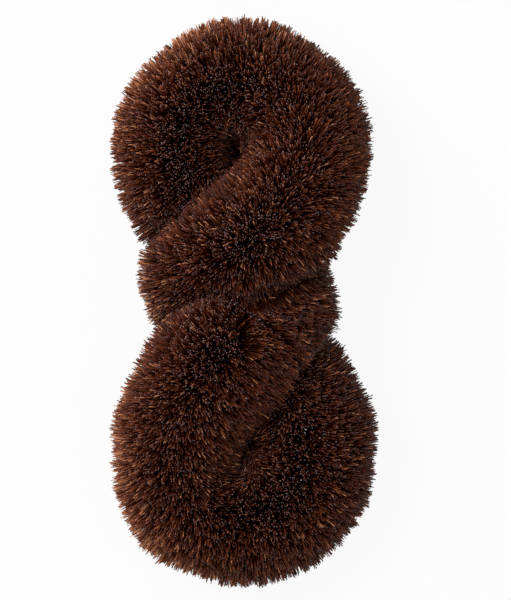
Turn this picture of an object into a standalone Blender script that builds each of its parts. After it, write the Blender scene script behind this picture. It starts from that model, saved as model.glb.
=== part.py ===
"""Palm fibre scrub brush: one long round brush, bent into a ring and given a full twist, so that it
makes an upper and a lower lobe with two crossings at the waist.

The brush lies on its back on the floor plane, with its length along Y and +Z towards the viewer.
Its core is one iron wire folded in half: the fold is an eye, and the two legs are twisted round each
other along the whole ring, with bunches of palm fibre gripped between them. At the end the two tails
hook through the eye and close the ring. Each turn of the twist grips one bunch, which is one object.
The route starts at this joint, on top of the lower crossing, and runs round the lower lobe first.
"""

import math

import bmesh
import bpy
import numpy as np
from mathutils import Vector

MM = 0.001

# Route of the core, seen from the front and measured from the middle between the two crossings
CROSSING_SPACING = 25.0 * MM
WAIST_LEFT_REACH = 9.4 * MM
WAIST_LEFT_LIFT = 5.5 * MM
WAIST_RIGHT_REACH = 8.2 * MM
WAIST_RIGHT_DROP = 3.3 * MM
UPPER_LOBE_RADIUS = 18.6 * MM
UPPER_LOBE_DISTANCE = 43.2 * MM
UPPER_LOBE_X = -0.2 * MM
LOWER_LOBE_RADIUS = 19.5 * MM
LOWER_LOBE_DISTANCE = 47.9 * MM
LOWER_LOBE_X = 0.3 * MM
LOBE_ANGLES = (-15, 35, 90, 145, 195)

# Rise of the core above its lowest stretches, which lie on the floor side
CROSSING_RISE = 17.0 * MM
LOBE_RISE_SHARES = (0.64, 0.25, 0.02, 0, 0.03)
UNDER_CROSSING_RISE_SHARE = 0.06
WAIST_RISE_SHARE = 0.52

# Bristles
BRISTLE_REACH = 20.2 * MM
FLOOR_TRIM = 0.5 * MM
TUFTS_PER_TURN = 11
TUFT_ROOT_SHARE = 0.5
TUFT_FLARE_SHARE = 0.32
TUFT_FILL_SHARE = 0.68
TUFT_WIDTH_LEAST = 0.6 * MM
TUFT_CLEARANCE = 0.6 * MM
BUNCH_CLEARANCE = 0.3 * MM

# Core wire, and the bed of fibre between its two legs
WIRE_DIAMETER = 1.2 * MM
WIRE_CLEARANCE = 0.45 * MM
BED_THICKNESS = 0.5 * MM
TWIST_PITCH = 15.6 * MM
WIRE_POINTS_PER_TURN = 8

# Joint that closes the ring, just before the core passes over the lower crossing
JOINT_BEFORE_CROSSING = 2.0 * MM
WIRE_GAP_LEAST = 0.5 * MM
TAIL_LENGTH = 4.5 * MM
LEG_SPREAD_LENGTH = 3.0 * MM
JOINT_LEAN_LENGTH = 14.0 * MM
LEG_SPREAD_STEPS = 3
TAIL_RISE_STEPS = 4
BOW_STEPS = 6

# Sampling of the core's curve, and of a tuft's length when its room is measured
SPAN_SAMPLES = 60
REACH_SAMPLES = 48
STATION_TOLERANCE = 1.0 * MM
OTHER_STRETCH_DISTANCE = 16.0 * MM

# Sampling of the wire when its least gap to itself is measured
GAP_SAMPLES_PER_STEP = 4
SAME_STRETCH_DIAMETERS = 4

FIBRE_COLOUR = (0.105, 0.042, 0.020, 1.0)
FIBRE_ROUGHNESS = 0.55
WIRE_COLOUR = (0.42, 0.41, 0.39, 1.0)
WIRE_ROUGHNESS = 0.4
WIRE_METALLIC = 0.9


def clear_scene():
    for obj in list(bpy.data.objects):
        bpy.data.objects.remove(obj, do_unlink=True)


def core_key_points():
    """Points that the core passes through: from the top of the lower crossing round the lower lobe,
    up the left of the waist, round the upper lobe, and down the right of the waist."""
    low = BRISTLE_REACH - FLOOR_TRIM
    over = low + CROSSING_RISE
    under = low + UNDER_CROSSING_RISE_SHARE * CROSSING_RISE
    waist = low + WAIST_RISE_SHARE * CROSSING_RISE
    upper_y = CROSSING_SPACING / 2
    lower_y = -CROSSING_SPACING / 2
    lobe = [
        (math.cos(math.radians(angle)), math.sin(math.radians(angle)), low + share * CROSSING_RISE)
        for angle, share in zip(LOBE_ANGLES, LOBE_RISE_SHARES)
    ]
    upper_lobe = [
        (UPPER_LOBE_X + UPPER_LOBE_RADIUS * x, UPPER_LOBE_DISTANCE + UPPER_LOBE_RADIUS * y, height)
        for x, y, height in lobe
    ]
    lower_lobe = [
        (LOWER_LOBE_X - LOWER_LOBE_RADIUS * x, -LOWER_LOBE_DISTANCE - LOWER_LOBE_RADIUS * y, height)
        for x, y, height in lobe
    ]
    return [
        (0, lower_y, over),
        *lower_lobe,
        (0, lower_y, under),
        (-WAIST_LEFT_REACH, WAIST_LEFT_LIFT, waist),
        (0, upper_y, over),
        *upper_lobe,
        (0, upper_y, under),
        (WAIST_RIGHT_REACH, -WAIST_RIGHT_DROP, waist),
    ]


def closed_spline(key_points):
    """Points along the closed cubic curve, with continuous bending, through the key points."""
    keys = np.array(key_points)
    count = len(keys)
    chord = np.linalg.norm(np.roll(keys, -1, axis=0) - keys, axis=1)
    left = np.zeros((count, count))
    right = np.zeros((count, 3))
    for i in range(count):
        before, after = chord[i - 1], chord[i]
        following = (i + 1) % count
        left[i, i - 1] += after
        left[i, i] += 2 * (before + after)
        left[i, following] += before
        step_in = after * (keys[i] - keys[i - 1]) / before
        step_out = before * (keys[following] - keys[i]) / after
        right[i] = 3 * (step_in + step_out)
    slopes = np.linalg.solve(left, right)
    t = np.linspace(0, 1, SPAN_SAMPLES, endpoint=False)[:, None]
    spans = []
    for i in range(count):
        following = (i + 1) % count
        start = (2 * t**3 - 3 * t**2 + 1) * keys[i] + (t**3 - 2 * t**2 + t) * chord[i] * slopes[i]
        end = (3 * t**2 - 2 * t**3) * keys[following] + (t**3 - t**2) * chord[i] * slopes[following]
        spans.append(start + end)
    return np.concatenate(spans)


def unit(vectors):
    return vectors / np.linalg.norm(vectors, axis=-1, keepdims=True)


class Core:
    """The closed centre line of the brush. It is measured from the joint, and carries an untwisted
    pair of side directions, so that a place is given as along, across and up."""

    def __init__(self, key_points, start_before):
        points = closed_spline(key_points)
        steps = np.linalg.norm(np.roll(points, -1, axis=0) - points, axis=1)
        along = np.concatenate([[0], np.cumsum(steps)])
        self.length = along[-1]
        even = np.linspace(0, self.length, len(points), endpoint=False) - start_before
        closed = np.concatenate([points, points[:1]])
        self.points = np.stack(
            [np.interp(even, along, closed[:, axis], period=self.length) for axis in range(3)], axis=1
        )
        self.step = self.length / len(points)
        self.tangents = unit(np.roll(self.points, -1, axis=0) - np.roll(self.points, 1, axis=0))
        self.sides = self.untwisted_sides()

    def untwisted_sides(self):
        """A side direction carried along the core without twist, with what is left over at the end
        of the ring spread evenly over its length."""
        side = np.cross([0.0, 0.0, 1.0], self.tangents[0])
        carried = [side / np.linalg.norm(side)]
        for tangent in np.roll(self.tangents, -1, axis=0):
            side = carried[-1] - tangent * np.dot(carried[-1], tangent)
            carried.append(side / np.linalg.norm(side))
        across = np.cross(self.tangents[0], carried[0])
        leftover = math.atan2(np.dot(carried[-1], across), np.dot(carried[-1], carried[0]))
        sides = np.array(carried[:-1])
        turn = -leftover * np.arange(len(sides)) / len(sides)
        ups = np.cross(self.tangents, sides)
        return sides * np.cos(turn)[:, None] + ups * np.sin(turn)[:, None]

    def read(self, table, along):
        places = np.arange(len(table)) * self.step
        columns = [np.interp(along, places, table[:, axis], period=self.length) for axis in range(3)]
        return np.stack(columns, axis=-1)

    def frame(self, along):
        """Centre, tangent, side and up directions at these distances along the core."""
        tangent = unit(self.read(self.tangents, along))
        side = self.read(self.sides, along)
        side = unit(side - tangent * np.sum(side * tangent, axis=-1, keepdims=True))
        return self.read(self.points, along), tangent, side, np.cross(tangent, side)

    def place(self, along, across, up):
        """Points at these distances along, to the side of and above the core."""
        centre, _, side, rise = self.frame(np.asarray(along, float))
        return centre + np.asarray(across)[..., None] * side + np.asarray(up)[..., None] * rise

    def turned(self, along, angle):
        """Centre, tangent, and the directions from leg to leg and along the fibre, at a twist angle."""
        centre, tangent, side, rise = self.frame(along)
        cosine, sine = np.cos(angle)[..., None], np.sin(angle)[..., None]
        return centre, tangent, side * cosine + rise * sine, rise * cosine - side * sine


# The bed is just so wide that neighbouring tufts fan apart by its thickness where they leave it.
BED_HALF_WIDTH = BED_THICKNESS * TUFTS_PER_TURN / (2 * math.pi)
WIRE_RADIUS = WIRE_DIAMETER / 2
LEG_RADIUS = WIRE_RADIUS + WIRE_CLEARANCE + BED_THICKNESS / 2
TAIL_OFFSET = WIRE_RADIUS + WIRE_GAP_LEAST / 2
HOOK_RADIUS = WIRE_DIAMETER + WIRE_GAP_LEAST
EYE_RADIUS = TAIL_OFFSET + WIRE_DIAMETER + 1.5 * WIRE_GAP_LEAST
HOOK_CENTRE = -EYE_RADIUS + HOOK_RADIUS
TAIL_RISE_START = -EYE_RADIUS - WIRE_DIAMETER
TAIL_TWIST_END = TAIL_RISE_START - TAIL_LENGTH
EYE_TWIST_START = EYE_RADIUS + LEG_SPREAD_LENGTH


def bristle_span(core):
    """Where the bed of fibre starts and ends along the core, and the number of turns of twist in it."""
    start, end = EYE_TWIST_START, core.length + TAIL_TWIST_END
    return start, end, round((end - start) / TWIST_PITCH)


def eased(share):
    return share * share * (3 - 2 * share)


def leg_route(core, side):
    """One leg of the wire, from the eye round the ring to the end of its tail, without the eye's bow.
    side is 1 or -1. Each row is a distance along the core, across it and up from it."""
    start, end, turns = bristle_span(core)
    spread = np.linspace(0, 1, LEG_SPREAD_STEPS, endpoint=False)
    from_eye = np.stack(
        [
            spread * start,
            side * (EYE_RADIUS + (LEG_RADIUS - EYE_RADIUS) * eased(spread)),
            np.zeros_like(spread),
        ],
        axis=1,
    )
    share = np.linspace(0, 1, turns * WIRE_POINTS_PER_TURN + 1)
    angle = 2 * math.pi * turns * share
    twisted = np.stack(
        [
            start + (end - start) * share,
            side * LEG_RADIUS * np.cos(angle),
            side * LEG_RADIUS * np.sin(angle),
        ],
        axis=1,
    )
    rise = np.linspace(0, 1, TAIL_RISE_STEPS + 1)[1:]
    tail_in = np.stack(
        [
            end + TAIL_LENGTH * rise,
            side * (LEG_RADIUS + (TAIL_OFFSET - LEG_RADIUS) * rise),
            HOOK_RADIUS * eased(rise),
        ],
        axis=1,
    )
    bow = np.linspace(math.pi / 2, -math.pi / 2, BOW_STEPS + 1)
    hook = np.stack(
        [
            core.length + HOOK_CENTRE + HOOK_RADIUS * np.cos(bow),
            np.full_like(bow, side * TAIL_OFFSET),
            HOOK_RADIUS * np.sin(bow),
        ],
        axis=1,
    )
    tail_out = [[core.length + TAIL_RISE_START, side * TAIL_OFFSET, -HOOK_RADIUS]]
    return np.concatenate([from_eye, twisted, tail_in, hook, tail_out])


def wire_points(core):
    """Centre line of the whole wire: tail, hook, leg, eye, leg, hook, tail."""
    bow = np.linspace(0, math.pi, BOW_STEPS + 1)[1:-1]
    eye = np.stack(
        [-EYE_RADIUS * np.sin(bow), EYE_RADIUS * np.cos(bow), np.zeros_like(bow)], axis=1
    )
    route = np.concatenate([leg_route(core, 1)[::-1], eye, leg_route(core, -1)])
    return core.place(route[:, 0], route[:, 1], route[:, 2])


def least_gap(points):
    """The least distance between two stretches of the wire's surface that aren't neighbours."""
    steps = [
        np.linspace(start, end, GAP_SAMPLES_PER_STEP, endpoint=False)
        for start, end in zip(points[:-1], points[1:])
    ]
    fine = np.concatenate(steps)
    along = np.concatenate([[0], np.cumsum(np.linalg.norm(np.diff(fine, axis=0), axis=1))])
    apart = np.abs(along[:, None] - along) > SAME_STRETCH_DIAMETERS * WIRE_DIAMETER
    distance = np.linalg.norm(fine[:, None, :] - fine, axis=2)
    return distance[apart].min() - WIRE_DIAMETER


def joint_lean(core, along):
    """How far a bristle's tip lies along the core from its root: near the joint the bristles lean
    over it from both sides, so that the ring looks closed."""
    start, end, _ = bristle_span(core)
    back = start * np.exp(-(along - start) / JOINT_LEAN_LENGTH)
    ahead = (core.length - end) * np.exp(-(end - along) / JOINT_LEAN_LENGTH)
    return (ahead - back) / 2


def bunch_stations(core):
    """Distances along the core of each bunch's cross sections: its two ends, and between them the
    start and end of each tuft's root. Tufts are a little apart at their roots."""
    start, end, turns = bristle_span(core)
    pitch = (end - start) / turns
    cell = pitch / TUFTS_PER_TURN
    middles = (np.arange(TUFTS_PER_TURN) + 0.5) * cell
    half_root = TUFT_ROOT_SHARE * cell / 2
    roots = np.stack([middles - half_root, middles + half_root], axis=1).ravel()
    places = np.concatenate([[BUNCH_CLEARANCE / 2], roots, [pitch - BUNCH_CLEARANCE / 2]])
    return start + pitch * np.arange(turns)[:, None] + places


def twist_angle(core, along):
    start, end, turns = bristle_span(core)
    return 2 * math.pi * turns * (along - start) / (end - start)


def tuft_directions(core, along, angle):
    """Root centre, direction and the two cross directions of the tufts on one edge of the bed."""
    centre, tangent, to_leg, fibre = core.turned(along, angle)
    direction = unit(fibre * BRISTLE_REACH + tangent * joint_lean(core, along)[..., None])
    across = unit(np.cross(direction, to_leg))
    return centre, direction, across, np.cross(across, direction)


def spacing_along(core, along, direction, reach):
    """Distance along the core, at these reaches, between two tufts that are half a turn apart and
    point the same way. It shrinks inside a bend of the core and grows outside it."""
    start, end, turns = bristle_span(core)
    quarter_turn = (end - start) / turns / 4
    _, *here = core.frame(along)
    centres, *axes = core.frame(np.array([along - quarter_turn, along + quarter_turn]))
    pair = sum(np.dot(direction, axis) * moved for axis, moved in zip(here, axes))
    apart = centres[1] - centres[0] + reach[:, None] * (pair[1] - pair[0])
    return np.dot(apart, here[0])


def tuft_widths(core, along, direction, reach):
    """Widths along the core and around it of a tuft at these reaches. A tuft flares out from its
    root, up to its share of the spacing."""
    start, end, turns = bristle_span(core)
    pitch = (end - start) / turns
    along_spacing = spacing_along(core, along, direction, reach)
    crowding = np.minimum(along_spacing / (pitch / 2), 1)
    root = np.array([[TUFT_ROOT_SHARE * pitch / TUFTS_PER_TURN], [BED_THICKNESS]])
    flare = crowding * (root + TUFT_FLARE_SHARE * reach)
    spacing = np.stack([along_spacing, 2 * math.pi * reach / TUFTS_PER_TURN])
    return np.minimum(flare, TUFT_FILL_SHARE * spacing)


def tuft_tip(core, along, centre, direction, across, sideways):
    """Reach and widths of one tuft's tip. The tuft stops where the inside of a bend leaves no room,
    where its tip would leave its own place along the core, or where a corner of its tip would come
    within the clearance of the surface halfway to another stretch."""
    reach = np.linspace(0, BRISTLE_REACH, REACH_SAMPLES + 1)
    reach = reach[reach > BED_HALF_WIDTH + BRISTLE_REACH / REACH_SAMPLES]
    widths = tuft_widths(core, along, direction, reach)
    tips = centre + reach[:, None] * direction
    places = np.arange(len(core.points)) * core.step
    apart = (places - along + core.length / 2) % core.length - core.length / 2
    nearest = apart[np.linalg.norm(tips[:, None, :] - core.points, axis=2).argmin(axis=1)]
    lean = reach * np.dot(direction, core.read(core.tangents, along))
    crowded = (widths[0] < TUFT_WIDTH_LEAST) | (np.abs(nearest) > np.abs(lean) + STATION_TOLERANCE)
    others = np.abs(apart) > OTHER_STRETCH_DISTANCE
    for a, b in ((-0.5, -0.5), (-0.5, 0.5), (0.5, -0.5), (0.5, 0.5)):
        corners = tips + (a * widths[0])[:, None] * across + (b * widths[1])[:, None] * sideways
        distance = np.linalg.norm(corners[:, None, :] - core.points, axis=2)
        room = distance[:, others].min(axis=1) - distance[:, ~others].min(axis=1)
        crowded |= room < TUFT_CLEARANCE
    last = max(np.argmax(crowded) - 1, 0) if crowded.any() else -1
    return reach[last], widths[0, last], widths[1, last]


def bed_mesh(core, along, angle):
    """The twisted strip of fibre between the legs, as a bmesh, with the faces on its two edges."""
    bm = bmesh.new()
    centre, _, to_leg, fibre = core.turned(along, angle)
    u, v = BED_THICKNESS / 2, BED_HALF_WIDTH
    section = [(u, v), (u, -v), (-u, -v), (-u, v)]
    rings = [
        [bm.verts.new(centre[i] + a * to_leg[i] + b * fibre[i]) for a, b in section]
        for i in range(len(along))
    ]
    upper_edge, lower_edge = [], []
    for here, ahead in zip(rings[:-1], rings[1:]):
        for first, second in ((0, 1), (2, 3)):
            bm.faces.new((here[first], here[second], ahead[first]))
            bm.faces.new((here[second], ahead[second], ahead[first]))
        upper_edge.append(bm.faces.new((here[3], here[0], ahead[0], ahead[3])))
        lower_edge.append(bm.faces.new((here[1], here[2], ahead[2], ahead[1])))
    bm.faces.new(rings[0])
    bm.faces.new(rings[-1])
    bmesh.ops.recalc_face_normals(bm, faces=bm.faces[:])
    return bm, upper_edge, lower_edge


def grow_tuft(bm, face, tip, across, sideways, width, depth):
    """Draws one edge face of the bed out to a blunt tip of this width and depth."""
    grown = bmesh.ops.extrude_discrete_faces(bm, faces=[face])["faces"][0]
    corners = sorted(grown.verts, key=lambda vert: vert.co.dot(across))
    for pair, a in ((corners[:2], -width / 2), (corners[2:], width / 2)):
        pair.sort(key=lambda vert: vert.co.dot(sideways))
        for vert, b in zip(pair, (-depth / 2, depth / 2)):
            vert.co = tip + across * a + sideways * b


def trim_at_floor(bm):
    """Cuts the bristles flat where the brush stands on them."""
    everything = bm.verts[:] + bm.edges[:] + bm.faces[:]
    bmesh.ops.bisect_plane(
        bm, geom=everything, plane_co=Vector((0, 0, 0)), plane_no=Vector((0, 0, 1)), clear_inner=True
    )
    rim = [edge for edge in bm.edges if edge.is_boundary]
    bmesh.ops.holes_fill(bm, edges=rim, sides=0)


def bristle_bunch(core, name, along, material):
    """One turn's bunch: the strip of fibre between the wire's legs and the tufts on both its edges."""
    bm, upper_edge, lower_edge = bed_mesh(core, along, twist_angle(core, along))
    middle = (along[1:-1:2] + along[2:-1:2]) / 2
    for faces, half_turn in ((upper_edge[1::2], 0), (lower_edge[1::2], math.pi)):
        angle = twist_angle(core, middle) + half_turn
        centre, direction, across, sideways = tuft_directions(core, middle, angle)
        for i, face in enumerate(faces):
            directions = direction[i], across[i], sideways[i]
            reach, width, depth = tuft_tip(core, middle[i], centre[i], *directions)
            tip = Vector(centre[i] + reach * direction[i])
            grow_tuft(bm, face, tip, Vector(across[i]), Vector(sideways[i]), width, depth)
    trim_at_floor(bm)
    mesh = bpy.data.meshes.new(name)
    bm.to_mesh(mesh)
    bm.free()
    mesh.materials.append(material)
    return bpy.data.objects.new(name, mesh)


def bunch_names(core, along):
    """A name for each bunch, from the part of the brush that its middle lies in."""
    middles = core.read(core.points, along.mean(axis=1))
    counts = {}
    names = []
    for y in middles[:, 1]:
        if abs(y) < CROSSING_SPACING:
            region = "waist"
        elif y > 0:
            region = "upper_lobe"
        else:
            region = "lower_lobe"
        counts[region] = counts.get(region, 0) + 1
        names.append(f"{region}_bristles_{counts[region]:02d}")
    return names


def core_wire(core, material):
    """The folded and twisted wire, as one tube."""
    points = wire_points(core)
    curve = bpy.data.curves.new("core_wire", "CURVE")
    curve.dimensions = "3D"
    spline = curve.splines.new("POLY")
    spline.points.add(len(points) - 1)
    for target, point in zip(spline.points, points):
        target.co = (*point, 1)
    curve.bevel_depth = WIRE_RADIUS
    curve.bevel_resolution = 1
    curve.use_fill_caps = True
    curve.materials.append(material)
    length = np.linalg.norm(np.diff(points, axis=0), axis=1).sum()
    print(f"wire: {length / MM:.0f} mm long, least gap to itself {least_gap(points) / MM:.2f} mm")
    return bpy.data.objects.new("core_wire", curve)


def finish(name, colour, roughness, metallic):
    material = bpy.data.materials.new(name)
    material.use_nodes = True
    shader = material.node_tree.nodes["Principled BSDF"]
    shader.inputs["Base Color"].default_value = colour
    shader.inputs["Roughness"].default_value = roughness
    shader.inputs["Metallic"].default_value = metallic
    return material


def centre_over_origin(objects, parent):
    """Moves the whole brush so that the middle of its outline, seen from above, is at the origin."""
    bunches = [obj.data for obj in objects if obj.type == "MESH"]
    places = np.array([vertex.co for mesh in bunches for vertex in mesh.vertices])
    middle = (places.min(axis=0) + places.max(axis=0)) / 2
    parent.location = (-middle[0], -middle[1], 0)


def build():
    clear_scene()
    fibre = finish("palm_fibre", FIBRE_COLOUR, FIBRE_ROUGHNESS, 0)
    steel = finish("iron_wire", WIRE_COLOUR, WIRE_ROUGHNESS, WIRE_METALLIC)
    collection = bpy.data.collections.new("palm_fibre_scrub_brush")
    bpy.context.scene.collection.children.link(collection)
    core = Core(core_key_points(), JOINT_BEFORE_CROSSING)
    stations = bunch_stations(core)
    objects = [core_wire(core, steel)]
    for name, along in zip(bunch_names(core, stations), stations):
        objects.append(bristle_bunch(core, name, along, fibre))
    brush = bpy.data.objects.new("brush", None)
    for obj in [brush, *objects]:
        collection.objects.link(obj)
    for obj in objects:
        obj.parent = brush
    centre_over_origin(objects, brush)
    tufts = 2 * TUFTS_PER_TURN * len(stations)
    print(f"{len(stations)} bunches, {tufts} tufts, core {core.length / MM:.0f} mm long")


build()
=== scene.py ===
import math

import bpy
import numpy as np
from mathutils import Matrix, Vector


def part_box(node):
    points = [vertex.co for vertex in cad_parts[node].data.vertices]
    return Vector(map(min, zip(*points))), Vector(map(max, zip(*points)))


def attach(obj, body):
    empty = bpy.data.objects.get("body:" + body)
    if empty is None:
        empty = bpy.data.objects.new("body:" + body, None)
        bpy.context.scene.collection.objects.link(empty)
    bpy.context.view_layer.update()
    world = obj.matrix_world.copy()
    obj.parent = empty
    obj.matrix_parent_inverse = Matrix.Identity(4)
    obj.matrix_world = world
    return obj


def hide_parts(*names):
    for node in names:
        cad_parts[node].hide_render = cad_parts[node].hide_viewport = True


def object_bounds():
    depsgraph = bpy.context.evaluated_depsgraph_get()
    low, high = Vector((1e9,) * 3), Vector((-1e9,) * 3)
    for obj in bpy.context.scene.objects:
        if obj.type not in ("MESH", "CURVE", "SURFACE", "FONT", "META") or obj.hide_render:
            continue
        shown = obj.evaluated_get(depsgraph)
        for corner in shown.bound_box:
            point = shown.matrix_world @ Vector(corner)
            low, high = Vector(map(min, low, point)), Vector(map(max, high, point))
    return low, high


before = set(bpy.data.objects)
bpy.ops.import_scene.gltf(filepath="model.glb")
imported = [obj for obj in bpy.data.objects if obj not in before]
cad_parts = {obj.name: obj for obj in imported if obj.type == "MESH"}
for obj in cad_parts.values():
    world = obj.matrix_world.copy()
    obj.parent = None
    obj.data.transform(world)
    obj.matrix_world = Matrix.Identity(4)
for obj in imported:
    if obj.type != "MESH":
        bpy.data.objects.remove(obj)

CAD_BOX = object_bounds()
MM = 0.001
rng = np.random.default_rng(5)

# Route of the core, seen from the front and measured from the middle between the two crossings
CROSSING_SPACING = 25.0 * MM
WAIST_LEFT = (-9.4 * MM, 5.5 * MM)
WAIST_RIGHT = (8.2 * MM, -3.3 * MM)
UPPER_LOBE_RADIUS = 18.6 * MM
UPPER_LOBE_CENTRE = (-0.2 * MM, 43.2 * MM)
LOWER_LOBE_RADIUS = 19.5 * MM
LOWER_LOBE_CENTRE = (0.3 * MM, -47.9 * MM)
LOBE_ANGLES = (-15, 35, 90, 145, 195)
CROSSING_RISE = 17.0 * MM
LOBE_RISE_SHARES = (0.64, 0.25, 0.02, 0, 0.03)
UNDER_CROSSING_RISE_SHARE = 0.06
WAIST_RISE_SHARE = 0.52
FLOOR_TRIM = 0.5 * MM
SPAN_SAMPLES = 60

# Bed of fibre in the twisted wire. The joint that closes the ring is left out of it.
BED_START = 5.8 * MM
BED_END = -8.5 * MM
JOINT_BEFORE_CROSSING = 2.0 * MM
JOINT_LEAN_LENGTH = 14.0 * MM
TWIST_PITCH = 15.6 * MM

# Where the fibres of the upper crossing point straight forward
UPPER_CROSSING_KEY = 8
SUMMIT_AFTER_CROSSING = 2.6 * MM
SUMMIT_TILT = 0.23
SUMMIT_SPREAD = 9.0 * MM

# Fibres: rings are the points along a fibre, with their shares of its length and thickness
FIBRE_COUNT = 110_000
FIBRE_REACH = 20.2 * MM
FIBRE_RADIUS = 0.165 * MM
FIBRE_CORNERS = 3
THINNEST_FIBRE, THICKEST_FIBRE = 0.75, 1.3
RING_SHARES = (0.08, 0.45, 0.68, 0.86, 1.0)
RING_THICKNESSES = (0.7, 0.9, 1.0, 1.0, 0.9)
FLOOR_CLEARANCE = 0.3 * MM

# Tries for each fibre, and limits of how much surface the bent rod has where one is tried,
# against a straight one
SCATTER_TRIES = 2.6
LEAST_SURFACE, MOST_SURFACE = 0.35, 2.2

# Clumps that the tips gather in, with slits between them
CLUMP_SPACING = 1.5 * MM
CLUMP_MARGIN = 0.05
CLUMP_PULL = 0.65
CLUMP_PULL_SPREAD = 1.6
CLUMP_REACH_SPREAD = 0.019
SLIT_SHARE = 0.5

# How unlike one another the fibres are
FAN_SHARE = 0.5
LEAN_SPREAD = 1.8 * MM
TURN_SPREAD = math.radians(1.6)
REACH_SHARE = 1.02
REACH_SPREAD = 0.012
SHORT_SHARE = 0.2
BEND_SPREAD = 0.4 * MM
BEND_ASIDE_SHARE = 0.9
STRAY_SHARE = 0.01
STRAY_BEND = 4.5
CRIMP_SPREAD = 0.1 * MM
CRIMP_START = 0.3

# Push between fibres of different stretches of the core. A fibre's own stretch pushes it like a
# straight line that goes on for so many reaches to each side.
CORE_SAMPLES = 150
PUSH_POWER = 10
PUSH_GRIP = 0.5
PUSH_LEAST_DISTANCE = 0.1 * MM
OWN_STRETCH = 9.0 * MM
OWN_LINE_REACH = 8
OWN_LINE_SAMPLES = 401
GROWTH_STEPS = 3

# Pits inside the bends of the lobes: the fibres are shorter there where the core is raised, and
# longer where it is low
MOST_INSIDE_BEND = 1.2
RAISED_SHARE = 0.5
PIT_SETBACK_SHARE = 0.07
PIT_FILL_SHARE = 0.12

# Where the clipped surface stands out or back: place seen from the front, reach, share of the length
TRIMS = (
    ((-31.0 * MM, -21.0 * MM), 13.0 * MM, -0.07),
    ((-30.0 * MM, 13.0 * MM), 9.0 * MM, 0.06),
    ((20.0 * MM, 77.0 * MM), 10.0 * MM, -0.05),
    ((-24.0 * MM, 74.0 * MM), 11.0 * MM, -0.07),
    ((-13.0 * MM, -82.5 * MM), 6.0 * MM, -0.03),
    ((-29.0 * MM, -74.0 * MM), 8.0 * MM, 0.06),
    ((8.5 * MM, 84.0 * MM), 6.0 * MM, 0.02),
    ((37.0 * MM, -60.0 * MM), 8.0 * MM, 0.05),
    ((27.5 * MM, -8.0 * MM), 7.0 * MM, 0.05),
    ((3.5 * MM, 44.5 * MM), 5.0 * MM, -0.04),
    ((-4.9 * MM, 33.9 * MM), 6.0 * MM, -0.05),
    ((38.0 * MM, -35.0 * MM), 9.0 * MM, 0.07),
    ((-38.5 * MM, -47.0 * MM), 8.0 * MM, -0.06),
)

# Where fibres above this height lean aside: place seen from the front, reach, offset of the tips
NUDGE_LOWEST = 22 * MM
NUDGES = (
    ((17.0 * MM, 3.2 * MM), 9.0 * MM, (0.0 * MM, -3.0 * MM)),
    ((4.0 * MM, 2.0 * MM), 8.0 * MM, (0.0 * MM, -5.0 * MM)),
    ((22.0 * MM, 9.0 * MM), 8.0 * MM, (0.0 * MM, -3.0 * MM)),
    ((-8.6 * MM, 32.5 * MM), 8.0 * MM, (-1.8 * MM, 1.6 * MM)),
    ((-1.5 * MM, 47.0 * MM), 7.0 * MM, (1.8 * MM, -0.6 * MM)),
    ((12.3 * MM, -27.3 * MM), 12.0 * MM, (3.4 * MM, -2.0 * MM)),
    ((-5.5 * MM, 45.5 * MM), 4.5 * MM, (2.6 * MM, 0.6 * MM)),
)

# Creases where two stretches of the brush meet. One is open, and those under a pressed edge are closed.
CREASE_DEPTH_SHARE = 0.14
CREASE_WIDTH = 1.6 * MM
CREASE_STRETCH = 45 * MM
OPEN_CREASE = (15.0 * MM, 2.0 * MM)
OPEN_CREASE_REACH = 9.0 * MM
OPEN_CREASE_DEEPER = 7
OPEN_CREASE_WIDER = 3.5
CLOSED_CREASES = (((0.0 * MM, 1.5 * MM), 8.0 * MM), ((9.5 * MM, -34.0 * MM), 14.0 * MM))
CLOSED_CREASE_SHALLOWER = 0.9

# Parting at the joint, from end to end
PARTING = ((-0.2 * MM, -5.4 * MM), (3.2 * MM, -15.0 * MM))
PARTING_MIDDLE = 0.05 * MM
PARTING_REACH = 1.4 * MM
PARTING_LOWEST = 40 * MM
PARTING_PUSH = 1.6 * MM
PARTING_SPREAD = 4.0 * MM
PARTING_DEPTH_SHARE = 0.8

# Tones of the fibres: columns of the map, the last of every few being a streak, and painted shade near the
# creases
TONE_COLUMNS = 256
STREAK_EVERY = 16
STREAK_SHARE = 0.03
SHARED_TONE_SHARE = 0.5
CREASE_SHADE = 1.7
CREASE_SHADE_REACH = 5.0 * MM
OPEN_CREASE_SHADE = 4.0
CLOSED_CREASE_SHADE = -0.8
LEAST_TONE_POWER = 0.25

# Painted light and shade on the sides of the two lobes, below these heights, with more streaks painted as
# highlights where the sides are lit
UPPER_RIM_HEIGHT = 35 * MM
LOWER_RIM_HEIGHT = 46 * MM
RIM_FADE_HEIGHT = 20 * MM
UPPER_RIM_SIDE = (-1.0, 1.1, 0.0)
LOWER_RIM_SIDE = (-1.5, -0.1, 0.0)
LOBE_BLEND = 40 * MM
STREAKS_ON_LIT_SIDES = 10.0

# The map: height that a fibre's side reaches from 0 at its root, heights of the corners of its two
# cut ends, and how it lies in its column
SIDE_TOP = 0.97
ROOT_CUT = (0.0, 0.0, 0.01)
TIP_CUT = (0.98, 0.98, 0.995)
COLUMN_MARGIN = 0.15
COLUMN_WIDTH = 0.7
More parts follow.
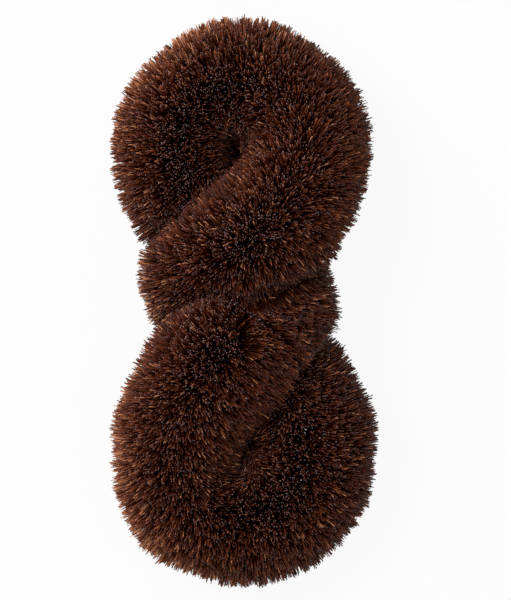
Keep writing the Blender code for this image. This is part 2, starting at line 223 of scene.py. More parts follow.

# Finish of the fibres: colours by tone; painted shade deep down each fibre and painted glow of light
# through the fibres near its tip, by height on the map; and masks by height on the map for painted glints
# and for streaks
FIBRE_COLOURS = (
    (0.0, (0.038, 0.0063, 0.0019)),
    (0.5, (0.070, 0.0125, 0.0033)),
    (0.88, (0.130, 0.027, 0.0080)),
    (1.0, (0.33, 0.090, 0.030)),
)
PAINTED_DEPTH_SHADING = (
    (0.0, (0.55, 0.6, 0.7)),
    (0.6, (0.58, 0.62, 0.72)),
    (0.84, (0.78, 0.8, 0.86)),
    (0.94, (1.18, 1.15, 1.08)),
)
# Painted glints: a pale colour on the cut ends of some fibres, and a little of it on their sides just below
GLINT_COLOUR = (0.37, 0.285, 0.305, 1)
GLINT_SEED = 517.3
GLINT_CHANCES = ((0.4, 0), (1.0, 1))
GLINT_HEIGHTS = ((0.9, 0), (0.965, 0.06), (0.97, 0.06), (0.978, 1))
STREAK_COLOUR = (0.64, 0.26, 0.12, 1)
STREAK_HEIGHTS = ((0.62, 0), (0.9, 1), (0.97, 1), (0.975, 0))
HALF_COLUMN = 0.5
DARK_ROUGHNESS = 0.26
TONE_ROUGHNESS = 0.2
FIBRE_SPECULAR = 0.25
FIBRE_SPECULAR_TINT = (1.0, 0.6, 0.48, 1)

# Finish of the wire: blotches on dull zinc
WIRE_COLOURS = ((0.3, (0.24, 0.235, 0.22)), (0.7, (0.42, 0.41, 0.39)))
BLOTCH_SCALE = 900.0
BLOTCH_DETAIL = 4.0
WIRE_ROUGHNESS = 0.5
BLOTCH_ROUGHNESS = 0.3
WIRE_METALLIC = 0.9

# Photograph: its frame, and where the brush is in it
PHOTO_WIDTH, PHOTO_HEIGHT = 511, 600
BRUSH_CENTRE_PIXEL = (242.5, 301.5)
BRUSH_LENGTH_PIXELS = 571
OUTLINE_HEIGHT = 22 * MM
CAMERA_DISTANCE = 900 * MM
SENSOR_WIDTH = 36

# Studio, with each lamp's place and size in metres and its power in watts
WHITE = (1, 1, 1, 1)
PAPER_COLOUR = (0.9, 0.9, 0.9, 1)
FLOOR_GLOW = 0.92
FLOOR_SIZE = 6
FLOOR_DROP = 0.05 * MM
SKY_STRENGTH = 0.46
LAMPS = (
    ("key_lamp", (-0.4, 0.25, 0.95), 0.5, 4.7),
    ("side_lamp", (-0.8, 0.65, 0.08), 0.5, 6.0),
)


def unit(vectors):
    return vectors / np.linalg.norm(vectors, axis=-1, keepdims=True)


def lobe_points(centre, radius):
    """Points of the core round a lobe. With a negative radius the lobe is turned half round."""
    low = FIBRE_REACH - FLOOR_TRIM
    return [
        (
            centre[0] + radius * math.cos(math.radians(angle)),
            centre[1] + radius * math.sin(math.radians(angle)),
            low + share * CROSSING_RISE,
        )
        for angle, share in zip(LOBE_ANGLES, LOBE_RISE_SHARES)
    ]


def core_key_points():
    """Points that the core passes through, from the top of the lower crossing round the ring."""
    low = FIBRE_REACH - FLOOR_TRIM
    over = low + CROSSING_RISE
    under = low + UNDER_CROSSING_RISE_SHARE * CROSSING_RISE
    waist = low + WAIST_RISE_SHARE * CROSSING_RISE
    upper_y, lower_y = CROSSING_SPACING / 2, -CROSSING_SPACING / 2
    return np.array(
        [
            (0, lower_y, over),
            *lobe_points(LOWER_LOBE_CENTRE, -LOWER_LOBE_RADIUS),
            (0, lower_y, under),
            (*WAIST_LEFT, waist),
            (0, upper_y, over),
            *lobe_points(UPPER_LOBE_CENTRE, UPPER_LOBE_RADIUS),
            (0, upper_y, under),
            (*WAIST_RIGHT, waist),
        ]
    )


def closed_spline(keys):
    """Points along the closed cubic curve, with continuous bending, through the key points."""
    count = len(keys)
    ahead = np.roll(np.arange(count), -1)
    chord = np.linalg.norm(keys[ahead] - keys, axis=1)
    left, right = np.zeros((count, count)), np.zeros((count, 3))
    for i, following in enumerate(ahead):
        before, after = chord[i - 1], chord[i]
        left[i, [i - 1, i, following]] = after, 2 * (before + after), before
        step_in = after * (keys[i] - keys[i - 1]) / before
        step_out = before * (keys[following] - keys[i]) / after
        right[i] = 3 * (step_in + step_out)
    slopes = np.linalg.solve(left, right)
    leaving = (slopes * chord[:, None])[:, None]
    arriving = (slopes[ahead] * chord[:, None])[:, None]
    t = np.linspace(0, 1, SPAN_SAMPLES, endpoint=False)[None, :, None]
    spans = (
        (2 * t**3 - 3 * t**2 + 1) * keys[:, None]
        + (t**3 - 2 * t**2 + t) * leaving
        + (3 * t**2 - 2 * t**3) * keys[ahead][:, None]
        + (t**3 - t**2) * arriving
    )
    return spans.reshape(-1, 3)


class Core:
    """The closed centre line of the brush, measured from the joint, with the directions round it,
    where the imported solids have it."""

    def __init__(self):
        route = closed_spline(core_key_points())
        steps = np.linalg.norm(np.roll(route, -1, axis=0) - route, axis=1)
        along = np.concatenate([[0], np.cumsum(steps)])
        self.length = along[-1]
        even = np.linspace(0, self.length, len(route), endpoint=False) - JOINT_BEFORE_CROSSING
        closed = np.concatenate([route, route[:1]])
        axes = [np.interp(even, along, closed[:, axis], period=self.length) for axis in range(3)]
        self.points = np.stack(axes, axis=1)
        wire_low, wire_high = (np.array(corner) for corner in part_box("core_wire"))
        shift = (wire_low + wire_high - self.points.min(axis=0) - self.points.max(axis=0)) / 2
        self.points[:, :2] += shift[:2]
        self.step = self.length / len(route)
        self.tangents = unit(np.roll(self.points, -1, axis=0) - np.roll(self.points, 1, axis=0))
        turning = np.roll(self.tangents, -1, axis=0) - np.roll(self.tangents, 1, axis=0)
        self.bends = turning / (2 * self.step)
        self.sides = self.untwisted_sides()
        summit = along[UPPER_CROSSING_KEY * SPAN_SAMPLES] + JOINT_BEFORE_CROSSING + SUMMIT_AFTER_CROSSING
        past_summit = np.arange(len(route)) * self.step - summit
        self.facings = self.tangents.copy()
        self.facings[:, 2] -= SUMMIT_TILT * np.exp(-((past_summit / SUMMIT_SPREAD) ** 2))
        self.bed_start, self.bed_end = BED_START, self.length + BED_END
        self.turns = round((self.bed_end - self.bed_start) / TWIST_PITCH)
        self.pitch = (self.bed_end - self.bed_start) / self.turns

    def untwisted_sides(self):
        """Directions to the side of the core that don't turn about it, but for what closes the ring."""
        side = np.cross([0.0, 0.0, 1.0], self.tangents[0])
        carried = [side / np.linalg.norm(side)]
        for tangent in np.roll(self.tangents, -1, axis=0):
            side = carried[-1] - tangent * np.dot(carried[-1], tangent)
            carried.append(side / np.linalg.norm(side))
        across = np.cross(self.tangents[0], carried[0])
        leftover = math.atan2(np.dot(carried[-1], across), np.dot(carried[-1], carried[0]))
        sides = np.array(carried[:-1])
        turn = -leftover * np.arange(len(sides)) / len(sides)
        ups = np.cross(self.tangents, sides)
        return sides * np.cos(turn)[:, None] + ups * np.sin(turn)[:, None]

    def read(self, table, along):
        """Values of a table that is kept for the core's points, at these distances along it."""
        places = np.arange(len(table)) * self.step
        axes = [np.interp(along, places, table[:, axis], period=self.length) for axis in range(3)]
        return np.stack(axes, axis=-1)

    def outward(self, along, around):
        """Directions out of the rod, at these distances along the core and angles around it."""
        tangent = unit(self.read(self.facings, along))
        side = self.read(self.sides, along)
        side = unit(side - tangent * np.sum(side * tangent, axis=-1, keepdims=True))
        rise = np.cross(tangent, side)
        return side * np.cos(around)[:, None] + rise * np.sin(around)[:, None]

    def samples(self, roots, stretch):
        """Places along the core and their points, and which of them lie more than this stretch of
        the core away from each root."""
        places = np.linspace(0, self.length, CORE_SAMPLES, endpoint=False)
        apart = (places - roots[:, None] + self.length / 2) % self.length - self.length / 2
        return places, self.read(self.points, places), np.abs(apart) > stretch


class Crowd:
    """What crowds a fibre: its own root pushes it outwards, and every other stretch of the core
    pushes it away, the nearer the more, so that fibres bend aside where two stretches meet."""

    def __init__(self, core, roots):
        places, self.centres, others = core.samples(roots, OWN_STRETCH)
        self.others = others & (places > core.bed_start) & (places < core.bed_end)
        t = np.linspace(-OWN_LINE_REACH, OWN_LINE_REACH, OWN_LINE_SAMPLES)
        line = np.sum((1 + t**2) ** -PUSH_POWER) * (t[1] - t[0])
        self.own_strength = line * FIBRE_REACH * CORE_SAMPLES / core.length
        self.held = core.read(core.points, roots)

    def push(self, points):
        """Direction of the push at each fibre's point, and straight out from its root."""
        squares = (points**2).sum(axis=1)[:, None] + (self.centres**2).sum(axis=1)
        squares = np.maximum(squares - 2 * points @ self.centres.T, PUSH_LEAST_DISTANCE**2) / FIBRE_REACH**2
        weights = np.where(self.others, squares**-PUSH_POWER, 0)
        field = (points * weights.sum(axis=1)[:, None] - weights @ self.centres) / FIBRE_REACH
        out = points - self.held
        reach = np.linalg.norm(out, axis=1, keepdims=True)
        own = out / reach * self.own_strength * (reach / FIBRE_REACH) ** -(2 * PUSH_POWER - 2)
        return unit(own + field), out / reach


def scatter_fibres(core):
    """Where fibres end on the rod's surface: distance along the core, and angle around it. Inside a
    bend there is less surface, and so there are fewer of them."""
    tries = int(SCATTER_TRIES * FIBRE_COUNT)
    along = rng.uniform(0, core.length, tries)
    around = rng.uniform(0, 2 * math.pi, tries)
    inside = np.sum(core.read(core.bends, along) * core.outward(along, around), axis=1)
    surface = np.clip(1 - FIBRE_REACH * inside, LEAST_SURFACE, MOST_SURFACE)
    kept = rng.uniform(0, MOST_SURFACE, tries) < surface
    return along[kept][:FIBRE_COUNT], around[kept][:FIBRE_COUNT]


def nearest_clump(along, around, length):
    """Offsets to the clump that each fibre leans to, from a scattered grid on the rod's surface, the
    clump's number, and the square of how far off it is in the grid."""
    columns = max(1, round(length / CLUMP_SPACING))
    rows = max(1, round(2 * math.pi * FIBRE_REACH / CLUMP_SPACING))
    scatter = rng.uniform(CLUMP_MARGIN, 1 - CLUMP_MARGIN, (columns, rows, 2))
    u, v = along / length * columns, around / (2 * math.pi) * rows
    best = np.full(len(u), np.inf)
    place = np.zeros((len(u), 2))
    index = np.zeros(len(u), int)
    for i in (-1, 0, 1):
        for j in (-1, 0, 1):
            cell_u, cell_v = np.floor(u).astype(int) + i, np.floor(v).astype(int) + j
            spot = scatter[cell_u % columns, cell_v % rows]
            offset = np.stack([cell_u + spot[:, 0] - u, cell_v + spot[:, 1] - v], axis=1)
            apart = (offset**2).sum(axis=1)
            nearer = apart < best
            best[nearer] = apart[nearer]
            place[nearer] = offset[nearer]
            index[nearer] = ((cell_u % columns) * rows + cell_v % rows)[nearer]
    along_offset = place[:, 0] * length / columns
    around_offset = place[:, 1] * 2 * math.pi / rows
    return along_offset, around_offset, index, best


def for_clump(clump, draw, *values):
    """One random number for each clump, given to all of its fibres."""
    return draw(*values, clump.max() + 1)[clump]


def bed_places(core, tip, around):
    """Where on the bed the fibres are held. Those that end next to the joint lean over it, and all
    of them fan out a little from the flat bed as it turns."""
    back = BED_START * np.exp(-tip / JOINT_LEAN_LENGTH)
    ahead = -BED_END * np.exp(-(core.length - tip) / JOINT_LEAN_LENGTH)
    root = tip + back - ahead
    sheet = around / math.pi - 2 * (root - core.bed_start) / core.pitch
    root += FAN_SHARE * np.sin(2 * math.pi * sheet) / (2 * math.pi) * core.pitch / 2
    root += rng.normal(0, LEAN_SPREAD, len(tip))
    return np.clip(root, core.bed_start, core.bed_end)


def near(tips, place, reach):
    """How near the tips are to a place seen from the front: 1 there, falling off at this reach."""
    return np.exp(-((tips[:, :2] - np.array(place)) ** 2).sum(axis=1) / reach**2)


def reach_shares(core, tip, outward, clump_reach, slit):
    """Length of each fibre as a share of the rod's reach, as it is clipped."""
    count = len(tip)
    spread = rng.normal(0, REACH_SPREAD, count)
    stretch = REACH_SHARE + clump_reach - slit + spread - SHORT_SHARE * rng.uniform(0, 1, count) ** 3
    inside = FIBRE_REACH * np.sum(core.read(core.bends, tip) * outward, axis=1)
    inside_bend = np.clip(inside, 0, MOST_INSIDE_BEND)
    middle = core.read(core.points, tip)
    raised = (middle[:, 2] - FIBRE_REACH + FLOOR_TRIM) / CROSSING_RISE
    raised = np.clip(raised / RAISED_SHARE, 0, 1)
    stretch += inside_bend**2 * (PIT_FILL_SHARE * (1 - raised) - PIT_SETBACK_SHARE * raised)
    planned = middle + outward * FIBRE_REACH
    return stretch + sum(share * near(planned, place, reach) for place, reach, share in TRIMS)


def grow_fibres(core, root, tip, outward, stretch):
    """Grows fibres from their roots in the wire to the rod's surface, which they meet squarely.
    Returns their points: fibre, ring, axis."""
    held = core.read(core.points, root)
    chord = core.read(core.points, tip) - held
    length = np.linalg.norm(outward * FIBRE_REACH + chord, axis=1) * stretch
    crowd = Crowd(core, root)
    shares = np.array(RING_SHARES)
    turn = np.zeros_like(held)
    points = held + unit(outward * FIBRE_REACH + 2 * chord) * (shares[0] * length)[:, None]
    rings = [points]
    for ring in range(1, len(shares)):
        step = (shares[ring] - shares[ring - 1]) / GROWTH_STEPS
        for part in range(GROWTH_STEPS):
            share = shares[ring - 1] + (part + 0.5) * step
            pushed, straight = crowd.push(points)
            turn += PUSH_GRIP * (pushed - straight)
            direction = unit(unit(outward * FIBRE_REACH + 2 * (1 - share) * chord) + turn)
            points = points + direction * (step * length)[:, None]
            points[:, 2] = np.maximum(points[:, 2], FLOOR_CLEARANCE)
        rings.append(points)
    return np.stack(rings, axis=1)


def nudge_fibres(rings):
    """Leans the fibres aside where the photograph has a crease a little off its place."""
    shares = np.array(RING_SHARES)[None, :, None]
    for place, reach, offset in NUDGES:
        share = near(rings[:, -1], place, reach) * (rings[:, -1, 2] > NUDGE_LOWEST)
        rings[..., :2] += share[:, None, None] * shares**2 * np.array(offset)


def crease_fibres(core, root, tips):
    """Share of each fibre that is left where two stretches of the brush meet in a crease, and how much
    painted shade the crease puts on its colour."""
    _, centres, other = core.samples(root, CREASE_STRETCH)
    squares = (tips**2).sum(axis=1)[:, None] + (centres**2).sum(axis=1) - 2 * tips @ centres.T
    own_distance = np.sqrt(np.where(other, np.inf, squares).min(axis=1))
    other_distance = np.sqrt(np.where(other, squares, np.inf).min(axis=1))
    margin = other_distance - own_distance
    crossed = np.clip(-margin, 0, CREASE_WIDTH) / FIBRE_REACH
    from_below = tips[:, 1] > core.read(core.points, root)[:, 1]
    opened = near(tips, OPEN_CREASE, OPEN_CREASE_REACH) * from_below
    closed = sum(near(tips, place, reach) for place, reach in CLOSED_CREASES)
    depth = CREASE_DEPTH_SHARE * (1 + OPEN_CREASE_DEEPER * opened - CLOSED_CREASE_SHALLOWER * closed)
    width = CREASE_WIDTH * (1 + OPEN_CREASE_WIDER * opened)
    # Painted shade near the creases, deeper at the open crease and less at the closed ones
    shade = np.exp(-np.maximum(margin, 0) / CREASE_SHADE_REACH)
    shade *= 1 + OPEN_CREASE_SHADE * opened + CLOSED_CREASE_SHADE * closed
    return 1 - depth * np.exp(-np.maximum(margin, 0) / width) - crossed, shade


def part_fibres(rings):
    """Opens the parting that is seen at the joint. Returns the share of each fibre that is left."""
    tips = rings[:, -1]
    start, end = np.array(PARTING[0]), np.array(PARTING[1])
    along = np.clip((tips[:, :2] - start) @ (end - start) / ((end - start) @ (end - start)), 0, 1)
    aside = tips[:, :2] - start - along[:, None] * (end - start)
    distance = np.linalg.norm(aside, axis=1)
    raised = tips[:, 2] > PARTING_LOWEST
    push = PARTING_PUSH * np.exp(-distance / PARTING_SPREAD) * raised
    offset = aside / np.maximum(distance, PARTING_MIDDLE)[:, None] * push[:, None]
    depth = PARTING_DEPTH_SHARE * np.exp(-((distance / PARTING_REACH) ** 2))
    rings[..., :2] += offset[:, None] * np.array(RING_SHARES)[None, :, None] ** 2
    return 1 - depth * (raised * (1 - (2 * along - 1) ** 4))


def cut_fibres(rings, share):
    """The fibres' rings, moved back along them so that each keeps this share of its length."""
    shares = np.array(RING_SHARES)
    wanted = shares * share[:, None]
    slot = np.clip(np.searchsorted(shares, wanted, side="right") - 1, 0, len(shares) - 2)
    below = np.take_along_axis(rings, slot[..., None], axis=1)
    above = np.take_along_axis(rings, slot[..., None] + 1, axis=1)
    part = (wanted - shares[slot]) / (shares[slot + 1] - shares[slot])
    return below + (above - below) * part[..., None]


def bend_fibres(rings, outward):
    """Bends the fibres a little aside, a few stray ones more, and crimps them."""
    count = len(rings)
    shares = np.array(RING_SHARES)[None, :, None]
    bend = rng.normal(0, BEND_SPREAD, (count, 1, 3)) * shares**3
    bend *= np.where(rng.uniform(0, 1, count) < STRAY_SHARE, STRAY_BEND, 1.0)[:, None, None]
    lengthwise = np.sum(bend * outward[:, None], axis=2, keepdims=True) * outward[:, None]
    bend -= lengthwise * BEND_ASIDE_SHARE
    crimp = rng.normal(0, CRIMP_SPREAD, (count, len(RING_SHARES), 3)) * (shares > CRIMP_START)
    rings += bend + crimp
    rings[..., 2] = np.maximum(rings[..., 2], FLOOR_CLEARANCE)


def painted_rim_light(tips, outward):
    """Painted light and shade: how much lighter, or with a minus darker, the fibres are on the sides of the
    two lobes.
    """
    upper = np.clip(0.5 + tips[:, 1] / LOBE_BLEND, 0, 1)
    height = upper * UPPER_RIM_HEIGHT + (1 - upper) * LOWER_RIM_HEIGHT
    side = np.outer(upper, UPPER_RIM_SIDE) + np.outer(1 - upper, LOWER_RIM_SIDE)
    centre = np.outer(upper, UPPER_LOBE_CENTRE) + np.outer(1 - upper, LOWER_LOBE_CENTRE)
    light = np.clip((height - tips[:, 2]) / RIM_FADE_HEIGHT, 0, 1) * np.sum(outward * side, axis=1)
    facing_in = np.sum(outward[:, :2] * (tips[:, :2] - centre), axis=1) < 0
    light[facing_in] = np.minimum(light[facing_in], 0)
    return light


def tone_columns(tips, outward, clump, shade):
    """Column of the map that each fibre is coloured from, dark to light, with some in streaks. Its random
    tone carries painted shade near the creases and painted light and shade on the sides of the lobes.
    """
    count = len(tips)
    own_tone = rng.uniform(0, 1, count)
    clump_tone = for_clump(clump, rng.uniform, 0, 1)
    tones = np.where(rng.uniform(0, 1, count) < SHARED_TONE_SHARE, clump_tone, own_tone)
    light = painted_rim_light(tips, outward)
    # Painted shade near the creases, and painted light and shade on the lobes' sides, darken or lighten the
    # tones
    tones **= np.maximum(1 + CREASE_SHADE * shade - light, LEAST_TONE_POWER)
    columns = np.floor(tones * TONE_COLUMNS)
    streak = columns - columns % STREAK_EVERY + STREAK_EVERY - 1
    columns -= columns == streak
    # Painted highlights: more light streaks on the lit sides of the lobes
    streaked = rng.uniform(0, 1, count) < STREAK_SHARE * (1 + STREAKS_ON_LIT_SIDES * np.maximum(light, 0))
    return np.where(streaked, streak, columns)


def make_fibres(core):
    """Points of all fibres, the turn of the bed that holds each, and its column of the map."""
    tip, around = scatter_fibres(core)
    along_pull, around_pull, clump, off_clump = nearest_clump(tip, around, core.length)
    pull = CLUMP_PULL * for_clump(clump, rng.uniform, 0, CLUMP_PULL_SPREAD)
    clump_reach = for_clump(clump, rng.normal, 0, CLUMP_REACH_SPREAD)
    slit = SLIT_SHARE * off_clump * for_clump(clump, rng.uniform, 0, 1) ** 2
    tip = (tip + pull * along_pull) % core.length
    around = around + pull * around_pull + rng.normal(0, TURN_SPREAD, len(tip))
    root = bed_places(core, tip, around)
    outward = core.outward(tip, around)
    rings = grow_fibres(core, root, tip, outward, reach_shares(core, tip, outward, clump_reach, slit))
    nudge_fibres(rings)
    left, shade = crease_fibres(core, root, rings[:, -1])
    rings = cut_fibres(rings, left * part_fibres(rings))
    bend_fibres(rings, outward)
    turn = np.floor((root - core.bed_start) / core.pitch).astype(int)
    columns = tone_columns(rings[:, -1], outward, clump, shade)
    return rings, np.clip(turn, 0, core.turns - 1), columns


def fibre_corners(rings, thickness):
    """Corners of the fibres round their points: fibre, ring, corner, axis."""
    count, ring_count, _ = rings.shape
    tangents = np.empty_like(rings)
    tangents[:, 1:-1] = rings[:, 2:] - rings[:, :-2]
    tangents[:, 0] = rings[:, 1] - rings[:, 0]
    tangents[:, -1] = rings[:, -1] - rings[:, -2]
    tangents = unit(tangents)
    across = unit(np.cross(tangents[:, 0], unit(rng.normal(0, 1, (count, 3)))))
    corners = np.empty((count, ring_count, FIBRE_CORNERS, 3))
    for ring in range(ring_count):
        tangent = tangents[:, ring]
        across = unit(across - tangent * np.sum(across * tangent, axis=1, keepdims=True))
        up = np.cross(tangent, across)
        for corner in range(FIBRE_CORNERS):
            angle = 2 * math.pi * corner / FIBRE_CORNERS
            radial = across * math.cos(angle) + up * math.sin(angle)
            corners[:, ring, corner] = rings[:, ring] + radial * thickness[:, ring, None]
    return corners


def side_places():
    """Ring along the fibre, and corner round it, of the four corners of each side face."""
    ring = np.arange(len(RING_SHARES) - 1)[:, None, None] + np.array([0, 0, 1, 1])
    corner = np.arange(FIBRE_CORNERS)[:, None] + np.array([0, 1, 1, 0])
    return ring, corner


def fibre_faces(count):
    """Corners of the faces of so many fibres, sides first and then the cut roots and tips, and where
    each face starts among them."""
    ring, corner = side_places()
    first = np.arange(count)[:, None] * len(RING_SHARES) * FIBRE_CORNERS
    sides = first[:, :, None, None] + FIBRE_CORNERS * ring + corner % FIBRE_CORNERS
    roots = first + np.arange(FIBRE_CORNERS)[::-1]
    tips = first + (len(RING_SHARES) - 1) * FIBRE_CORNERS + np.arange(FIBRE_CORNERS)
    side_starts = np.arange(0, sides.size, 4)
    cut_starts = sides.size + np.arange(2 * count) * FIBRE_CORNERS
    loops = np.concatenate([sides.ravel(), roots.ravel(), tips.ravel()])
    return loops, np.concatenate([side_starts, cut_starts])


def fibre_map(columns):
    """Places on the map of the corners of the fibres' faces, in the same order."""
    ring, corner = side_places()
    shares = np.array(RING_SHARES)
    heights = SIDE_TOP * (shares - shares[0]) / (1 - shares[0])
    column = (columns + COLUMN_MARGIN) / TONE_COLUMNS
    width = COLUMN_WIDTH / TONE_COLUMNS / FIBRE_CORNERS
    sides = np.empty((len(columns), len(shares) - 1, FIBRE_CORNERS, 4, 2))
    sides[..., 0] = column[:, None, None, None] + width * corner
    sides[..., 1] = heights[ring]
    cuts = np.empty((2, len(columns), FIBRE_CORNERS, 2))
    cuts[..., 0] = column[None, :, None] + FIBRE_CORNERS * width * np.array([0, 1, 0.5])
    cuts[0, :, :, 1] = np.array(ROOT_CUT)
    cuts[1, :, :, 1] = np.array(TIP_CUT)
    return np.concatenate([sides.ravel(), cuts.ravel()])


def fibre_mesh(name, rings, thickness, columns):
    """Mesh of the fibres with cut ends, and the map that their finish is read from."""
    corners = fibre_corners(rings, thickness)
    loops, starts = fibre_faces(len(rings))
    mesh = bpy.data.meshes.new(name)
    mesh.vertices.add(corners.size // 3)
    mesh.vertices.foreach_set("co", corners.astype(np.float32).ravel())
    mesh.loops.add(len(loops))
    mesh.loops.foreach_set("vertex_index", loops.astype(np.int32))
    mesh.polygons.add(len(starts))
    mesh.polygons.foreach_set("loop_start", starts.astype(np.int32))
    mesh.update(calc_edges=True)
    smooth = np.arange(len(starts)) < len(starts) - 2 * len(rings)
    mesh.polygons.foreach_set("use_smooth", smooth)
    layer = mesh.uv_layers.new(name="OFBake")
    layer.uv.foreach_set("vector", fibre_map(columns).astype(np.float32))
    mesh.validate()
    return mesh


class Value:
    """A value in a material, with the operators that are used on it."""

    def __init__(self, finish, socket):
        self.finish = finish
        self.socket = socket

    def __add__(self, other):
        return self.finish.math("ADD", self, other)

    __radd__ = __add__

    def __mul__(self, other):
        return self.finish.math("MULTIPLY", self, other)

    __rmul__ = __mul__

    def __sub__(self, other):
        return self.finish.math("SUBTRACT", self, other)

    def __rsub__(self, other):
        return self.finish.math("SUBTRACT", other, self)


class Finish:
    """The nodes of a material, or of the world."""

    def __init__(self, owner):
        self.owner = owner
        owner.use_nodes = True
        self.tree = owner.node_tree
        self.tree.nodes.clear()

    def node(self, kind, output=0, sockets=None, stops=None, **settings):
        made = self.tree.nodes.new(kind)
        for setting, value in settings.items():
            setattr(made, setting, value)
        if stops:
            ramp = made.color_ramp
            while len(ramp.elements) < len(stops):
                ramp.elements.new(1)
            for element, (place, colour) in zip(ramp.elements, stops):
                element.position = place
                element.color = (*colour, 1)
        for socket, value in (sockets or {}).items():
            if isinstance(value, Value):
                self.tree.links.new(value.socket, made.inputs[socket])
            else:
                made.inputs[socket].default_value = value
        return Value(self, made.outputs[output]) if made.outputs else None

    def math(self, operation, *values):
        return self.node("ShaderNodeMath", operation=operation, sockets=dict(enumerate(values)))

    def ramp(self, share, stops):
        return self.node("ShaderNodeValToRGB", sockets={0: share}, stops=stops)

    def mask(self, share, stops):
        """A ramp whose stops are numbers instead of colours."""
        return self.ramp(share, [(place, (level, level, level)) for place, level in stops])

    def colour_mix(self, share, first, second, blend="MIX"):
        sockets = {0: share, 6: first, 7: second}
        return self.node("ShaderNodeMix", 2, sockets, data_type="RGBA", blend_type=blend)

    def surface(self, shader):
        world = isinstance(self.owner, bpy.types.World)
        kind = "ShaderNodeOutputWorld" if world else "ShaderNodeOutputMaterial"
        self.node(kind, sockets={"Surface": shader})
        return self.owner


def palm_fibre():
    """Finish of the fibres: the map's column gives a fibre's tone, and its height the place on it."""
    finish = Finish(bpy.data.materials.new("palm_fibre"))
    place = finish.node("ShaderNodeUVMap", uv_map="OFBake")
    across = finish.node("ShaderNodeSeparateXYZ", output="X", sockets={0: place})
    height = finish.node("ShaderNodeSeparateXYZ", output="Y", sockets={0: place})
    column = finish.math("FLOOR", across * TONE_COLUMNS)
    tone = column * (1 / TONE_COLUMNS)
    colour = finish.ramp(tone, FIBRE_COLOURS)
    # Painted shade: darker and greyer deep down each fibre, and lighter and warmer near its tip as painted
    # glow of light through the fibres
    colour = finish.colour_mix(1.0, colour, finish.ramp(height, PAINTED_DEPTH_SHADING), "MULTIPLY")
    # Painted glints: pale cut ends on a random share of the fibres
    chance = finish.node(
        "ShaderNodeTexWhiteNoise", output="Value", noise_dimensions="1D", sockets={"W": column + GLINT_SEED}
    )
    glint = finish.mask(chance, GLINT_CHANCES) * finish.mask(height, GLINT_HEIGHTS)
    colour = finish.colour_mix(glint, colour, GLINT_COLOUR)
    order = finish.math("MODULO", column, STREAK_EVERY)
    streak = finish.math("COMPARE", order, STREAK_EVERY - 1, HALF_COLUMN)
    colour = finish.colour_mix(streak * finish.mask(height, STREAK_HEIGHTS), colour, STREAK_COLOUR)
    shader = finish.node(
        "ShaderNodeBsdfPrincipled",
        sockets={
            "Base Color": colour,
            "Roughness": DARK_ROUGHNESS + TONE_ROUGHNESS * tone,
            "Specular IOR Level": FIBRE_SPECULAR,
            "Specular Tint": FIBRE_SPECULAR_TINT,
        },
    )
    return finish.surface(shader)


def iron_wire():
    finish = Finish(bpy.data.materials.new("iron_wire"))
    place = finish.node("ShaderNodeTexCoord", output="Object")
    blotch = finish.node(
        "ShaderNodeTexNoise",
        output="Fac",
        sockets={"Vector": place, "Scale": BLOTCH_SCALE, "Detail": BLOTCH_DETAIL},
    )
    shader = finish.node(
        "ShaderNodeBsdfPrincipled",
        sockets={
            "Base Color": finish.ramp(blotch, WIRE_COLOURS),
            "Roughness": WIRE_ROUGHNESS + BLOTCH_ROUGHNESS * blotch,
            "Metallic": WIRE_METALLIC,
        },
    )
    return finish.surface(shader)


def bunch_names(core):
    """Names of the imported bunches, in the order of the turns that hold them."""
    names = sorted(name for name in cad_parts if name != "core_wire")
    middles = {name: sum(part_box(name), Vector()) / 2 for name in names}
    ordered = []
    for turn in range(core.turns):
        middle = core.read(core.points, np.array([core.bed_start + (turn + 0.5) * core.pitch]))[0]
        nearest = min(names, key=lambda name: (middles[name] - Vector(middle)).length)
        names.remove(nearest)
        ordered.append(nearest)
    return ordered


def dress_bunches():
    core = Core()
    rings, turns, columns = make_fibres(core)
    thickness = np.full(rings.shape[:2], FIBRE_RADIUS)
    thickness *= rng.uniform(THINNEST_FIBRE, THICKEST_FIBRE, (len(rings), 1))
    thickness *= np.array(RING_THICKNESSES)
    finish = palm_fibre()
    for turn, name in enumerate(bunch_names(core)):
        here = turns == turn
        mesh = fibre_mesh(f"{name}_fibres", rings[here], thickness[here], columns[here])
        mesh.materials.append(finish)
        piece = bpy.data.objects.new(f"{name}_fibres", mesh)
        bpy.context.scene.collection.objects.link(piece)
        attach(piece, "root")
        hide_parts(name)


def dress_wire():
    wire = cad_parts["core_wire"]
    wire.data.materials.clear()
    wire.data.materials.append(iron_wire())


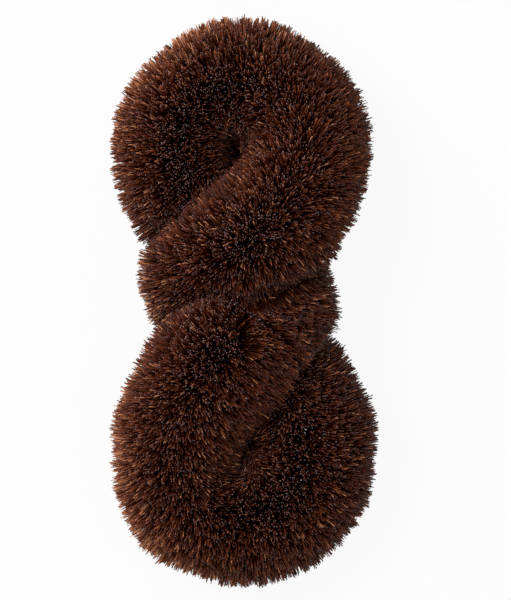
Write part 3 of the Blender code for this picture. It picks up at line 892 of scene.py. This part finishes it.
def make_camera():
    low, high = CAD_BOX
    metres_per_pixel = (high[1] - low[1]) / BRUSH_LENGTH_PIXELS
    camera = bpy.data.cameras.new("camera")
    camera.sensor_width = SENSOR_WIDTH
    camera.lens = SENSOR_WIDTH * CAMERA_DISTANCE / (PHOTO_HEIGHT * metres_per_pixel)
    obj = bpy.data.objects.new("camera", camera)
    x = (PHOTO_WIDTH / 2 - BRUSH_CENTRE_PIXEL[0]) * metres_per_pixel
    y = -(PHOTO_HEIGHT / 2 - BRUSH_CENTRE_PIXEL[1]) * metres_per_pixel
    obj.location = (x, y, OUTLINE_HEIGHT + CAMERA_DISTANCE)
    bpy.context.scene.collection.objects.link(obj)
    bpy.context.scene.camera = obj


def make_lamp(name, place, size, power):
    lamp = bpy.data.lights.new(name, "AREA")
    lamp.shape = "DISK"
    lamp.size = size
    lamp.energy = power
    obj = bpy.data.objects.new(name, lamp)
    obj.location = place
    obj.rotation_mode = "QUATERNION"
    obj.rotation_quaternion = (-Vector(place)).to_track_quat("-Z", "Y")
    bpy.context.scene.collection.objects.link(obj)


def seen_ray(finish):
    """1 for what the camera sees, straight on or in a shiny or clear surface, and 0 for light."""
    kinds = ("Is Camera Ray", "Is Glossy Ray", "Is Transmission Ray")
    camera, glossy, transmission = (finish.node("ShaderNodeLightPath", output=kind) for kind in kinds)
    return finish.math("MINIMUM", camera + glossy + transmission, 1.0)


def make_floor():
    finish = Finish(bpy.data.materials.new("studio_floor"))
    paper = finish.node("ShaderNodeBsdfDiffuse", sockets={"Color": PAPER_COLOUR})
    glow = finish.node("ShaderNodeEmission", sockets={"Color": WHITE, "Strength": 1.0})
    seen = FLOOR_GLOW * seen_ray(finish)
    shader = finish.node("ShaderNodeMixShader", sockets={0: seen, 1: paper, 2: glow})
    bpy.ops.mesh.primitive_plane_add(size=FLOOR_SIZE)
    floor = bpy.context.object
    floor.name = "floor"
    floor.location.z = -FLOOR_DROP
    floor.data.materials.append(finish.surface(shader))


def make_studio():
    world = bpy.data.worlds.new("studio")
    bpy.context.scene.world = world
    finish = Finish(world)
    sky = finish.node("ShaderNodeBackground", sockets={"Color": WHITE, "Strength": SKY_STRENGTH})
    backdrop = finish.node("ShaderNodeBackground", sockets={"Color": WHITE, "Strength": 1.0})
    finish.surface(finish.node("ShaderNodeMixShader", sockets={0: seen_ray(finish), 1: sky, 2: backdrop}))
    for name, place, size, power in LAMPS:
        make_lamp(name, place, size, power)
    bpy.context.scene.view_settings.view_transform = "Standard"


dress_bunches()
dress_wire()
make_floor()
make_studio()
make_camera()
